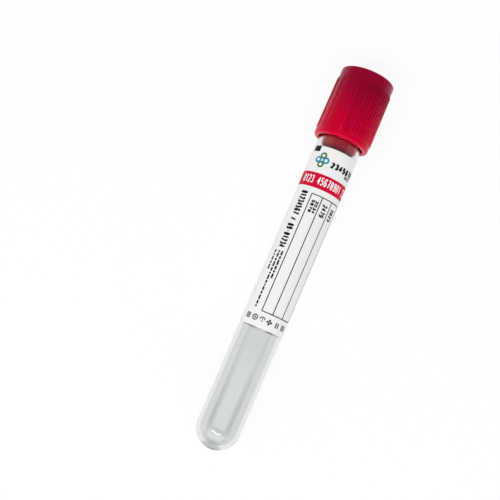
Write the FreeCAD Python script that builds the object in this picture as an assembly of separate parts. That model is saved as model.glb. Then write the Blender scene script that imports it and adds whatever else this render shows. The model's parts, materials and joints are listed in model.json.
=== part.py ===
import FreeCAD, Part
import math
import os

# A capped blood collection tube: a drafted round-ended tube, its paper label, a ribbed cap and the
# rubber stopper that the cap holds. Lengths are in millimetres and angles in degrees.
#
# Each piece is drawn standing up: Z is the tube's axis, z = 0 is the outside of the round end and
# -Y is the front. resting_place() then lays the whole tube on its side, as it comes to rest: the round
# end and two grip ribs touch the floor, the cap points along +Y and the front faces up.

# Tube
TUBE_LENGTH = 100.0
MOUTH_RADIUS = 6.3
FOOT_RADIUS = 6.15
TUBE_WALL = 1.0
FOOT_WALL = 1.2
MOUTH_BEVEL = 0.25
GATE_RADIUS = 0.9
GATE_DEPTH = 0.15

# Label
LABEL_LOW = 35.3
LABEL_HEIGHT = 53.6
LABEL_THICKNESS = 0.1
LABEL_WRAP = 325.0
GLUE_FILM = 0.02

# Cap
CAP_HEIGHT = 20.9
CAP_ABOVE_MOUTH = 13.4
CAP_BAND_RADIUS = 7.92
CAP_BAND_HEIGHT = 3.05
CAP_SKIRT_RADIUS = 8.09
CAP_SKIRT_HEIGHT = 2.35
CAP_TOP_ROUND = 0.4
CAP_RIM_ROUND = 0.65
CAP_RIM_INNER_BEVEL = 0.2
CAP_BORE_CLEARANCE = 0.25
CAP_BORE_FLARE = 0.1
CAP_LEDGE = 0.35
CAP_PLATE = 1.8
WELL_RADIUS = 4.25
WELL_DEPTH = 5.5
WELL_WALL = 1.0
WELL_BEVEL = 0.3

# Grip: two smooth panels, each between two wide ribs and two gaps, with fine ribs on both sides
RIB_TOP_RADIUS = 8.16
RIB_FOOT_RADIUS = 8.26
RIB_TOP_SLOPE = 0.45
RIB_FOOT_SLOPE = 0.25
RIB_EDGE_CHAMFER = 0.12
RIB_ROOT_DEPTH = 0.35
PANEL_ANGLE = 37.2
WIDE_RIB_ANGLE = 7.6
GAP_ANGLE = 14.1
FINE_RIB_ANGLE = 4.2
FINE_RIBS_PER_SIDE = 14

# Stopper
PLUG_DEPTH = 10.0
PLUG_CLEARANCE = 0.05
PLUG_FOOT_ROUND = 1.7
PLUG_WAIST_DEPTH = 0.3
PLUG_WAIST_LOW = 7.0
PLUG_WAIST_HIGH = 2.5
PLUG_WAIST_SLOPE = 0.6
HEAD_CLEARANCE = 0.05
HEAD_BEVEL = 0.4
MOUTH_SEAT_GAP = 0.05
DISH_RADIUS = 3.3
DISH_DEPTH = 0.8
SEPTUM = 7.0
RECESS_RADIUS = 3.0

# Worked out from the sizes above
UP = FreeCAD.Vector(0, 0, 1)
ORIGIN = FreeCAD.Vector(0, 0, 0)
SAME_PLACE = 1e-4
ROUND_STEPS = 3
FULL_TURN = 360.0
HALF_TURN = 180.0
QUARTER_TURN = 90.0

CAP_TOP = TUBE_LENGTH + CAP_ABOVE_MOUTH
CAP_RIM = CAP_TOP - CAP_HEIGHT
GRIP_TOP = CAP_TOP - CAP_BAND_HEIGHT
GRIP_FOOT = CAP_RIM + CAP_SKIRT_HEIGHT
CHAMBER_FOOT = TUBE_LENGTH + MOUTH_SEAT_GAP
CHAMBER_TOP = CAP_TOP - CAP_PLATE
WELL_FLOOR = CAP_TOP - WELL_DEPTH
BORE_RADIUS = MOUTH_RADIUS + CAP_BORE_CLEARANCE
CHAMBER_RADIUS = BORE_RADIUS + CAP_LEDGE
PLUG_FOOT = TUBE_LENGTH - PLUG_DEPTH


def draft_angle():
    """Half angle of the tube's outer cone, which touches the round end's sphere and the mouth's edge."""
    rise = TUBE_LENGTH - FOOT_RADIUS
    reach = math.hypot(MOUTH_RADIUS, rise)
    return math.acos(FOOT_RADIUS / reach) - math.atan2(rise, MOUTH_RADIUS)


DRAFT = draft_angle()


def cone_radius(sphere_radius, sphere_centre, z):
    """Radius at height z of the drafted cone that touches a sphere on the axis."""
    return (sphere_radius + (z - sphere_centre) * math.sin(DRAFT)) / math.cos(DRAFT)


def outer_radius(z):
    """Outside radius of the tube at height z, above its round end."""
    return cone_radius(FOOT_RADIUS, FOOT_RADIUS, z)


def inner_radius(z):
    """Radius of the tube's bore at height z, above its round end."""
    sphere = FOOT_RADIUS - TUBE_WALL
    return cone_radius(sphere, FOOT_WALL + sphere, z)


def point(radius, z):
    """A point of a half profile, in the XZ plane."""
    return FreeCAD.Vector(radius, 0, z)


def foot_round(radius, z, size):
    """Points of the quarter circle that rounds the outer corner at the foot of a half profile."""
    places = []
    for step in range(ROUND_STEPS + 1):
        angle = math.pi / 2 * step / ROUND_STEPS
        places.append(point(radius - size + size * math.sin(angle), z + size - size * math.cos(angle)))
    return places


def line(start, end):
    """Straight edge. A slanted one is a spline of degree one, which turns into a face with few facets."""
    segment = Part.LineSegment(start, end)
    if start.x == end.x or start.z == end.z:
        return segment.toShape()
    return segment.toBSpline().toShape()


def arc_about_axis(radius, centre, start_angle, end_angle):
    """Arc of a circle centred on the axis at z = centre. Its angles, in radians, start straight down."""
    places = []
    for angle in (start_angle, (start_angle + end_angle) / 2, end_angle):
        places.append(point(radius * math.sin(angle), centre - radius * math.cos(angle)))
    return Part.Arc(*places).toShape()


def turned(edges, angle=FULL_TURN):
    """Solid swept by a closed half profile round the axis."""
    face = Part.Face(Part.Wire(Part.__sortEdges__(edges)))
    return face.revolve(ORIGIN, UP, angle)


def turned_polygon(points, angle=FULL_TURN):
    """Solid swept by a polygon round the axis."""
    return turned([line(start, end) for start, end in zip(points, points[1:] + points[:1])], angle)


def circles_at(solid, z, radius):
    """Full-circle edges of a turned solid at this height and radius."""
    found = []
    for edge in solid.Edges:
        if edge.Degenerated or not isinstance(edge.Curve, Part.Circle):
            continue
        circle = edge.Curve
        if math.hypot(circle.Center.z - z, circle.Radius - radius) < SAME_PLACE:
            found.append(edge)
    return found


def rounded(solid, size, z, radius):
    """The solid with its circular edge at (radius, z) rounded."""
    return solid.makeFillet(size, circles_at(solid, z, radius))


def bevelled(solid, size, z, radius):
    """The solid with its circular edge at (radius, z) cut back to a small bevel."""
    return solid.makeChamfer(size, circles_at(solid, z, radius))


def round_ended_bar(sphere_radius, foot, top):
    """Solid drafted bar with a hemispherical foot at z = foot and a flat end at z = top."""
    centre = foot + sphere_radius
    touch_angle = math.pi / 2 - DRAFT
    touch = point(sphere_radius * math.sin(touch_angle), centre - sphere_radius * math.cos(touch_angle))
    top_radius = cone_radius(sphere_radius, centre, top)
    return turned([
        arc_about_axis(sphere_radius, centre, 0, touch_angle),
        line(touch, point(top_radius, top)),
        line(point(top_radius, top), point(0, top)),
        line(point(0, top), point(0, foot)),
    ])


def make_tube():
    """Drafted tube with a round closed end, a bevelled mouth and a shallow gate mark under its end."""
    outside = round_ended_bar(FOOT_RADIUS, 0, TUBE_LENGTH)
    inside = round_ended_bar(FOOT_RADIUS - TUBE_WALL, FOOT_WALL, TUBE_LENGTH)
    gate = Part.makeCylinder(GATE_RADIUS, GATE_DEPTH * 2, point(0, -GATE_DEPTH), UP)
    tube = outside.cut(inside).cut(gate)
    tube = bevelled(tube, MOUTH_BEVEL, TUBE_LENGTH, outer_radius(TUBE_LENGTH))
    return bevelled(tube, MOUTH_BEVEL, TUBE_LENGTH, inner_radius(TUBE_LENGTH))


def make_label():
    """Paper wrapped round the tube's draft on a thin film of glue, open along a strip at the back."""
    top = LABEL_LOW + LABEL_HEIGHT
    paper = turned_polygon([
        point(outer_radius(LABEL_LOW) + GLUE_FILM, LABEL_LOW),
        point(outer_radius(LABEL_LOW) + GLUE_FILM + LABEL_THICKNESS, LABEL_LOW),
        point(outer_radius(top) + GLUE_FILM + LABEL_THICKNESS, top),
        point(outer_radius(top) + GLUE_FILM, top),
    ], LABEL_WRAP)
    paper.rotate(ORIGIN, UP, -QUARTER_TURN - LABEL_WRAP / 2)
    return paper


def make_rib(width_angle):
    """One grip rib along X: its side outline, pushed across its width, with its long edges broken."""
    width = 2 * RIB_FOOT_RADIUS * math.sin(math.radians(width_angle / 2))
    root_top = CAP_BAND_RADIUS - RIB_ROOT_DEPTH
    root_foot = CAP_SKIRT_RADIUS - RIB_ROOT_DEPTH
    outline = [
        (root_foot, GRIP_FOOT - RIB_FOOT_SLOPE),
        (CAP_SKIRT_RADIUS, GRIP_FOOT - RIB_FOOT_SLOPE),
        (RIB_FOOT_RADIUS, GRIP_FOOT),
        (RIB_TOP_RADIUS, GRIP_TOP - RIB_TOP_SLOPE),
        (CAP_BAND_RADIUS, GRIP_TOP),
        (root_top, GRIP_TOP),
    ]
    corners = [FreeCAD.Vector(radius, -width / 2, z) for radius, z in outline]
    rib = Part.Face(Part.makePolygon(corners + corners[:1])).extrude(FreeCAD.Vector(0, width, 0))
    long_edges = []
    for edge in rib.Edges:
        ends = [vertex.Point for vertex in edge.Vertexes]
        upright = abs(ends[0].z - ends[1].z) > (GRIP_TOP - GRIP_FOOT) / 2
        if upright and min(ends[0].x, ends[1].x) > CAP_SKIRT_RADIUS:
            long_edges.append(edge)
    return rib.makeChamfer(RIB_EDGE_CHAMFER, long_edges)


def rib_places():
    """Angle and width of each rib, from the middle of a panel. The pattern repeats on the other side."""
    wide = (PANEL_ANGLE + WIDE_RIB_ANGLE) / 2
    first = PANEL_ANGLE / 2 + WIDE_RIB_ANGLE + GAP_ANGLE + FINE_RIB_ANGLE / 2
    pitch = (HALF_TURN - 2 * first) / (FINE_RIBS_PER_SIDE - 1)
    places = []
    for side in (0, HALF_TURN):
        places.append((side - wide, WIDE_RIB_ANGLE))
        places.append((side + wide, WIDE_RIB_ANGLE))
        for number in range(FINE_RIBS_PER_SIDE):
            places.append((side + first + number * pitch, FINE_RIB_ANGLE))
    return places


def gap_middle():
    """Angle from the middle of a panel to the middle of the gap beside it."""
    return PANEL_ANGLE / 2 + WIDE_RIB_ANGLE + GAP_ANGLE / 2


def make_cap_body():
    """Cap without its ribs: skirt, drafted wall, top band and plate, chamber, ledge and needle well."""
    well_outer = WELL_RADIUS + WELL_WALL
    body = turned_polygon([
        point(BORE_RADIUS + CAP_BORE_FLARE, CAP_RIM),
        *foot_round(CAP_SKIRT_RADIUS, CAP_RIM, CAP_RIM_ROUND),
        point(CAP_SKIRT_RADIUS, GRIP_FOOT),
        point(CAP_BAND_RADIUS, GRIP_TOP),
        point(CAP_BAND_RADIUS, CAP_TOP),
        point(WELL_RADIUS, CAP_TOP),
        point(WELL_RADIUS, WELL_FLOOR),
        point(well_outer, WELL_FLOOR),
        point(well_outer, CHAMBER_TOP),
        point(CHAMBER_RADIUS, CHAMBER_TOP),
        point(CHAMBER_RADIUS, CHAMBER_FOOT),
        point(BORE_RADIUS, CHAMBER_FOOT),
    ])
    body = rounded(body, CAP_TOP_ROUND, CAP_TOP, CAP_BAND_RADIUS)
    body = bevelled(body, WELL_BEVEL, CAP_TOP, WELL_RADIUS)
    return bevelled(body, CAP_RIM_INNER_BEVEL, CAP_RIM, BORE_RADIUS + CAP_BORE_FLARE)


def make_cap():
    """Cap with its grip ribs, turned so that a gap between two ribs faces the floor."""
    ribs = []
    for angle, width_angle in rib_places():
        rib = make_rib(width_angle)
        rib.rotate(ORIGIN, UP, angle)
        ribs.append(rib)
    cap = make_cap_body().multiFuse(ribs).removeSplitter()
    cap.rotate(ORIGIN, UP, -QUARTER_TURN - gap_middle())
    return cap


def make_stopper():
    """Rubber stopper: a head in the cap's chamber, a waisted plug in the bore, a dish and a recess."""
    head_radius = CHAMBER_RADIUS - HEAD_CLEARANCE
    waist_foot = TUBE_LENGTH - PLUG_WAIST_LOW
    waist_top = TUBE_LENGTH - PLUG_WAIST_HIGH

    def plug_radius(z):
        return inner_radius(z) - PLUG_CLEARANCE

    dish_floor = WELL_FLOOR - DISH_DEPTH
    recess_top = dish_floor - SEPTUM
    stopper = turned_polygon([
        point(RECESS_RADIUS, PLUG_FOOT),
        *foot_round(plug_radius(PLUG_FOOT), PLUG_FOOT, PLUG_FOOT_ROUND),
        point(plug_radius(waist_foot), waist_foot),
        point(plug_radius(waist_foot) - PLUG_WAIST_DEPTH, waist_foot + PLUG_WAIST_SLOPE),
        point(plug_radius(waist_top) - PLUG_WAIST_DEPTH, waist_top - PLUG_WAIST_SLOPE),
        point(plug_radius(waist_top), waist_top),
        point(plug_radius(CHAMBER_FOOT), CHAMBER_FOOT),
        point(head_radius, CHAMBER_FOOT),
        point(head_radius, WELL_FLOOR),
        point(DISH_RADIUS, WELL_FLOOR),
        point(DISH_RADIUS, dish_floor),
        point(0, dish_floor),
        point(0, recess_top),
        point(RECESS_RADIUS, recess_top),
    ])
    return bevelled(stopper, HEAD_BEVEL, WELL_FLOOR, head_radius)


def rest_slope():
    """Slope of the axis, in radians, with the round end and the wide rib beside the gap on the floor."""
    off_down = math.radians(gap_middle() - (PANEL_ANGLE + WIDE_RIB_ANGLE) / 2)
    half_top = RIB_FOOT_RADIUS * math.sin(math.radians(WIDE_RIB_ANGLE / 2)) - RIB_EDGE_CHAMFER
    drop = RIB_FOOT_RADIUS * math.cos(off_down) + half_top * math.sin(off_down)
    span = GRIP_FOOT - FOOT_RADIUS
    return math.atan2(drop, span) - math.asin(FOOT_RADIUS / math.hypot(span, drop))


def resting_place(shapes):
    """Matrix that lays the tube down, centred on the origin and standing on z = 0."""
    turn = FreeCAD.Rotation(FreeCAD.Vector(1, 0, 0), math.degrees(rest_slope()) - QUARTER_TURN)
    matrix = FreeCAD.Placement(ORIGIN, turn).toMatrix()
    whole = Part.makeCompound([shape.copy() for shape in shapes])
    whole.transformShape(matrix, True)
    box = whole.optimalBoundingBox(False, False)
    matrix.move(FreeCAD.Vector(-box.Center.x, -box.Center.y, -box.ZMin))
    return matrix


def main():
    pieces = {
        "tube": make_tube(),
        "label": make_label(),
        "cap": make_cap(),
        "stopper": make_stopper(),
    }
    matrix = resting_place(pieces.values())
    os.makedirs("parts", exist_ok=True)
    for name, shape in pieces.items():
        shape.transformShape(matrix, True)
        shape.exportStep("parts/" + name + ".step")
        print(name, "volume", round(shape.Volume, 1), "solids", len(shape.Solids), "valid", shape.isValid())


main()
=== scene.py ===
"""Looks of a clear collection tube with a printed paper label, a ribbed red cap and a rubber stopper."""

import json
import logging
import math
from abc import ABC, abstractmethod
from collections.abc import Iterable, Sequence
from dataclasses import dataclass, field
from enum import Enum
from typing import Any, ClassVar

import bpy
import numpy as np
from mathutils import Matrix


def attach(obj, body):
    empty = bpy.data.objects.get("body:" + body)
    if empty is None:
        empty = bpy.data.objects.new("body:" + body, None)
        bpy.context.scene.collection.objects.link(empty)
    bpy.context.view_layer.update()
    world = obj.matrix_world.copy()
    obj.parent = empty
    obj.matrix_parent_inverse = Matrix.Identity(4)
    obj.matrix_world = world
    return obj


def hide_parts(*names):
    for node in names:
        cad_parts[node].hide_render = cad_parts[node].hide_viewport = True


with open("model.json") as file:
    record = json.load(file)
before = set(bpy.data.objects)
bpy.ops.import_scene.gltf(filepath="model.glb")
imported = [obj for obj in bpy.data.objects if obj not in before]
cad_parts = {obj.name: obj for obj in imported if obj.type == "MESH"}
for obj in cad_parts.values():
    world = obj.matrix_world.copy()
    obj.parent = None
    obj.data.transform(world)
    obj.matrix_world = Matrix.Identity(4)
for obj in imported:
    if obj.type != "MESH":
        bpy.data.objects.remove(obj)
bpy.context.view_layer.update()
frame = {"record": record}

LOG = logging.getLogger("collection_tube")

Array = np.ndarray
Span = tuple[float, float]
Vector = tuple[float, float, float]
Colour = tuple[float, float, float]

MM = 0.001
FULL_TURN = 360.0
ROUND_STEPS = 16
ROUNDING = 1e-9
SHARP_ANGLE = math.radians(34.0)
EVEN: Vector = (1.0, 1.0, 1.0)
PURE_WHITE: Colour = (1.0, 1.0, 1.0)
# Name of the cap's attribute of painted shade between its ribs.
GROOVE_SHADE = "groove_shade"


# ---------------------------------------------------------------- surfaces


@dataclass
class Surface:
    """Part of a mesh, worked out as whole arrays.

    Attributes:
        points: One row (x, y, z) per vertex, in metres.
        quads: One row of four vertex numbers per face. A face with a repeated number is a triangle.
        finish: Number of the material that the faces wear.
    """

    points: Array
    quads: Array
    finish: int = 0


def grid_quads(rows: int, columns: int, rows_close: bool = False, columns_close: bool = False) -> Array:
    """Faces of a grid of points that are numbered row after row.

    Face (i, j) has the corners (i, j), (i + 1, j), (i + 1, j + 1) and (i, j + 1), so it faces along
    the cross product of the direction of the rows' count and that of the columns' count.

    Args:
        rows: Number of rows.
        columns: Number of columns.
        rows_close: True if the last row is joined to the first.
        columns_close: True if the last column is joined to the first.

    Returns:
        One row of four vertex numbers per face.
    """
    i = np.arange(rows if rows_close else rows - 1)[:, None]
    j = np.arange(columns if columns_close else columns - 1)[None, :]
    below, beyond = (i + 1) % rows, (j + 1) % columns
    corners = (i * columns + j, below * columns + j, below * columns + beyond, i * columns + beyond)
    return np.stack([np.broadcast_to(corner, (i.size, j.size)).ravel() for corner in corners], axis=1)


def closed_at_poles(quads: Array, columns: int, poles: Sequence[int]) -> Array:
    """Faces of a turned grid in which every row shares one vertex in each pole's column."""
    column = quads % columns
    return np.where(np.isin(column, poles), column, quads)


def make_piece(
    name: str, surfaces: Iterable[Surface], finishes: Sequence[bpy.types.Material]
) -> bpy.types.Object:
    """Joins surfaces into one mesh object at the origin, smooth but for its sharp edges.

    Args:
        name: The piece's name.
        surfaces: Its closed surfaces.
        finishes: Its materials, in the order of the surfaces' finish numbers.

    Returns:
        The new object, linked to the scene.
    """
    parts = list(surfaces)
    starts = np.cumsum([0] + [len(part.points) for part in parts])
    quads = np.concatenate([part.quads + start for part, start in zip(parts, starts)])
    finish = np.concatenate([np.full(len(part.quads), part.finish) for part in parts])
    used, number = np.unique(quads, return_inverse=True)
    points = np.concatenate([part.points for part in parts])[used]
    quads = number.reshape(quads.shape)
    kept = quads != np.roll(quads, 1, axis=1)
    corners, sizes = quads[kept], kept.sum(axis=1)

    mesh = bpy.data.meshes.new(name)
    mesh.vertices.add(len(points))
    mesh.vertices.foreach_set("co", points.astype(np.float32).ravel())
    mesh.loops.add(len(corners))
    mesh.loops.foreach_set("vertex_index", corners.astype(np.int32))
    mesh.polygons.add(len(sizes))
    mesh.polygons.foreach_set("loop_start", np.concatenate([[0], np.cumsum(sizes)[:-1]]).astype(np.int32))
    mesh.polygons.foreach_set("material_index", finish.astype(np.int32))
    mesh.update(calc_edges=True)
    mesh.validate()
    mesh.shade_smooth()
    mesh.set_sharp_from_angle(angle=SHARP_ANGLE)
    for material in finishes:
        mesh.materials.append(material)
    piece = bpy.data.objects.new(name, mesh)
    bpy.context.scene.collection.objects.link(piece)
    return piece


def oval(centre: Span, radii: Span, start: float, end: float, steps: int) -> Array:
    """The steps + 1 points centre + radii * (cos a, sin a) of an arc, with a from start to end in degrees."""
    angle = np.radians(np.linspace(start, end, steps + 1))
    return np.stack([centre[0] + radii[0] * np.cos(angle), centre[1] + radii[1] * np.sin(angle)], axis=1)


def round_corner(corner: Span, radius: float, start: float, steps: int = 6) -> Array:
    """Points of the quarter circle that rounds a square corner of a profile.

    Args:
        corner: The corner before it is rounded.
        radius: The circle's radius.
        start: The arc's first angle, a multiple of 90 degrees.
        steps: Number of spans.

    Returns:
        steps + 1 points, one a row.
    """
    middle = math.radians(start + FULL_TURN / 8)
    x = corner[0] - math.copysign(radius, math.cos(middle))
    y = corner[1] - math.copysign(radius, math.sin(middle))
    return oval((x, y), (radius, radius), start, start + FULL_TURN / 4, steps)


def loop(centre: Span, radii: Span) -> Array:
    """Points of a whole ellipse, each once."""
    return oval(centre, radii, 0.0, FULL_TURN, ROUND_STEPS)[:-1]


def resampled(path: Array, step: float) -> Array:
    """The path with points added evenly on each span, so that no coordinate changes by more than step.

    Args:
        path: One point a row.
        step: Longest change of a coordinate along a span.

    Returns:
        The path's own points with the new ones between them.
    """
    spans = np.diff(path, axis=0)
    counts = np.maximum(np.ceil(np.abs(spans).max(axis=1) / step - ROUNDING), 1).astype(int)
    first = np.repeat(np.cumsum(counts) - counts, counts)
    share = (np.arange(counts.sum()) - first) / np.repeat(counts, counts)
    between = np.repeat(path[:-1], counts, axis=0) + np.repeat(spans, counts, axis=0) * share[:, None]
    return np.concatenate([between, path[-1:]])


def smooth_step(value: Array) -> Array:
    """Goes from 0 to 1 with level ends: 3 t^2 - 2 t^3, with t the value held between 0 and 1."""
    held = np.clip(value, 0.0, 1.0)
    return held * held * (3.0 - 2.0 * held)


@dataclass(frozen=True)
class Lie:
    """Where the tube lies. It turns cylinder coordinates into places in the frame.

    Attributes:
        anchor: A place on the axis, in metres.
        anchor_height: That place's height above the round end, in mm.
        along: Unit vector of the axis, towards the cap.
        front: Unit vector from the axis out of the middle of the label's front.
        across: Unit vector from the axis to the right of the front.
    """

    anchor: Array
    anchor_height: float
    along: Array
    front: Array
    across: Array

    @classmethod
    def from_frame(cls, record: dict[str, Any], well_floor: float) -> "Lie":
        """Reads the axis from the needle well's mount, whose place is halfway up the well's length.

        Args:
            record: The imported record.
            well_floor: Height of the well's floor above the round end, in mm.

        Returns:
            The placement.
        """
        mount = next(one for one in record["mounts"] if one["name"] == "needle_well")
        along = np.array(mount["axis"], float)
        along /= np.linalg.norm(along)
        across = np.array([1.0, 0.0, 0.0])
        height = well_floor + mount["dims"]["length_mm"] / 2
        return cls(np.array(mount["pos_m"], float), height, along, np.cross(across, along), across)

    def places(self, radius: Array, angle: Array, height: Array) -> Array:
        """Anchor + along * (height - anchor height) + radius * (across * sin angle + front * cos angle).

        Args:
            radius: Distances from the axis, in mm.
            angle: Angles from the front, in radians.
            height: Heights above the round end, in mm.

        Returns:
            One place a row, in metres.
        """
        radius, angle, height = (np.asarray(value, float)[..., None] for value in (radius, angle, height))
        outwards = self.across * np.sin(angle) + self.front * np.cos(angle)
        place = self.anchor + MM * (self.along * (height - self.anchor_height) + radius * outwards)
        return place.reshape(-1, 3)

    def turned(self, profile: Array, steps: int) -> Surface:
        """Surface of a profile turned about the axis: radius and height from the profile, at every angle.

        Args:
            profile: Rows of (radius, height) in mm. The outside goes upwards. An open profile starts and ends
                on the axis.
            steps: Number of columns of faces around.

        Returns:
            The closed surface.
        """
        angles = np.linspace(0.0, 2.0 * math.pi, steps, endpoint=False)[:, None]
        ends_on_axis = profile[0, 0] == 0.0
        quads = grid_quads(steps, len(profile), rows_close=True, columns_close=not ends_on_axis)
        if ends_on_axis:
            quads = closed_at_poles(quads, len(profile), (0, len(profile) - 1))
        ones = np.ones((steps, len(profile)))
        return Surface(self.places(profile[:, 0] * ones, angles * ones, profile[:, 1] * ones), quads)


# ---------------------------------------------------------------- shader maths


@dataclass(frozen=True)
class Pattern:
    """Cloudy noise.

    Attributes:
        size: Size of its blobs, in mm.
        detail: Number of finer layers.
        stretch: How much faster it changes along X, Y and Z.
        roughness: Strength of each finer layer next to the one before.
    """

    size: float
    detail: float
    stretch: Vector = EVEN
    roughness: float = 0.55


class Wire:
    """A socket's value in a sum. Each operator adds the Math node that works it out."""

    def __init__(self, graph: "Graph", socket: bpy.types.NodeSocket) -> None:
        """Wraps an output socket of the graph."""
        self.graph = graph
        self.socket = socket

    def __add__(self, other: "Wire | float") -> "Wire":
        """self + other."""
        return self.graph.math("ADD", self, other)

    __radd__ = __add__

    def __sub__(self, other: "Wire | float") -> "Wire":
        """self - other."""
        return self.graph.math("SUBTRACT", self, other)

    def __rsub__(self, other: "Wire | float") -> "Wire":
        """other - self."""
        return self.graph.math("SUBTRACT", other, self)

    def __mul__(self, other: "Wire | float") -> "Wire":
        """self * other."""
        return self.graph.math("MULTIPLY", self, other)

    __rmul__ = __mul__

    def __truediv__(self, other: "Wire | float") -> "Wire":
        """self / other."""
        return self.graph.math("DIVIDE", self, other)

    def highest(self, other: "Wire | float") -> "Wire":
        """The larger of the two."""
        return self.graph.math("MAXIMUM", self, other)

    def eased(self, span: Span) -> "Wire":
        """Eases from 0 to 1 with level ends.

        Args:
            span: Where it is 0, and where it is 1.

        Returns:
            The eased value.
        """
        values = {"Value": self, "From Min": span[0], "From Max": span[1]}
        node = self.graph.node("MapRange", {"interpolation_type": "SMOOTHSTEP"}, values)
        return Wire(self.graph, node.outputs["Result"])


class Graph:
    """The nodes of one material or world."""

    def __init__(self, owner: bpy.types.Material | bpy.types.World) -> None:
        """Empties the owner's node tree.

        Args:
            owner: The material or world.
        """
        owner.use_nodes = True
        self.tree = owner.node_tree
        self.tree.nodes.clear()

    def node(
        self, kind: str, settings: dict[str, Any] | None = None, values: dict[str, Any] | None = None
    ) -> bpy.types.Node:
        """Adds a node.

        Args:
            kind: The node's type, without its ShaderNode prefix.
            settings: Its settings, set first.
            values: For each socket's identifier, a number, a colour, a vector, a Wire or a socket.

        Returns:
            The node.
        """
        node = self.tree.nodes.new("ShaderNode" + kind)
        for name, value in (settings or {}).items():
            setattr(node, name, value)
        sockets = {socket.identifier: socket for socket in node.inputs}
        for name, value in (values or {}).items():
            if isinstance(value, Wire):
                value = value.socket
            if isinstance(value, bpy.types.NodeSocket):
                self.tree.links.new(value, sockets[name])
            else:
                sockets[name].default_value = (*value, 1.0) if sockets[name].type == "RGBA" else value
        return node

    def math(self, operation: str, first: Wire | float, second: Wire | float) -> Wire:
        """Adds a Math node that works on two values."""
        node = self.node("Math", {"operation": operation}, {"Value": first, "Value_001": second})
        return Wire(self, node.outputs["Value"])

    def ray(self, kind: str) -> Wire:
        """1 where the light's path is of this kind, and 0 elsewhere."""
        return Wire(self, self.node("LightPath").outputs[kind])

    def places(self, stretch: Vector = EVEN) -> bpy.types.NodeSocket:
        """Object coordinates, in metres.

        Args:
            stretch: What each of them is multiplied by.

        Returns:
            The coordinates' output.
        """
        coordinates = self.node("TexCoord").outputs["Object"]
        if stretch == EVEN:
            return coordinates
        return self.node("Mapping", {}, {"Vector": coordinates, "Scale": stretch}).outputs["Vector"]

    def parts(self, vector: bpy.types.NodeSocket) -> list[Wire]:
        """The X, Y and Z of a vector."""
        return [Wire(self, output) for output in self.node("SeparateXYZ", {}, {"Vector": vector}).outputs]

    def noise(self, pattern: Pattern) -> Wire:
        """Adds cloudy noise.

        Args:
            pattern: Its size, detail, stretch and roughness.

        Returns:
            The noise, from 0 to 1.
        """
        values = {
            "Vector": self.places(pattern.stretch),
            "Scale": 1.0 / (pattern.size * MM),
            "Detail": pattern.detail,
            "Roughness": pattern.roughness,
        }
        return Wire(self, self.node("TexNoise", {}, values).outputs["Fac"])

    def blend(self, share: Wire | float, first: Any, second: Any) -> bpy.types.NodeSocket:
        """Mixes two colours.

        Args:
            share: How much of the second there is.
            first: The first, a colour or a socket.
            second: The second, a colour or a socket.

        Returns:
            The mixed colour's output.
        """
        values = {"Factor_Float": share, "A_Color": first, "B_Color": second}
        node = self.node("Mix", {"data_type": "RGBA"}, values)
        return next(socket for socket in node.outputs if socket.identifier == "Result_Color")

    def bump(self, height: Wire, relief: Span) -> bpy.types.NodeSocket:
        """Normal of a surface whose relief has this height, from 0 to 1, and this depth in mm and share."""
        values = {"Strength": relief[1], "Distance": relief[0] * MM, "Height": height}
        return self.node("Bump", {}, values).outputs["Normal"]

    def surface(self, values: dict[str, Any]) -> None:
        """Ends the material with a Principled shader of these values."""
        shader = self.node("BsdfPrincipled", {}, values)
        self.node("OutputMaterial", {}, {"Surface": shader.outputs["BSDF"]})


# ---------------------------------------------------------------- finishes


@dataclass(frozen=True)
class Finish(ABC):
    """A finish of one piece: a Principled shader whose values each kind of finish gives.

    Roughness is its least value, and then what each noise adds. Relief is its depth in mm and its share.
    Spans are in metres: along Y, or aside from the middle for a painted dark streak's inner and outer edge.
    """

    name: ClassVar[str]

    @abstractmethod
    def values(self, graph: Graph) -> dict[str, Any]:
        """Works out the shader's values.

        Args:
            graph: The graph that their nodes are added to.

        Returns:
            A number, a colour or an output for each of the shader's sockets that it sets.
        """

    def material(self) -> bpy.types.Material:
        """Makes the material.

        Returns:
            The new material.
        """
        material = bpy.data.materials.new(self.name)
        graph = Graph(material)
        graph.surface(self.values(graph))
        return material


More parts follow.
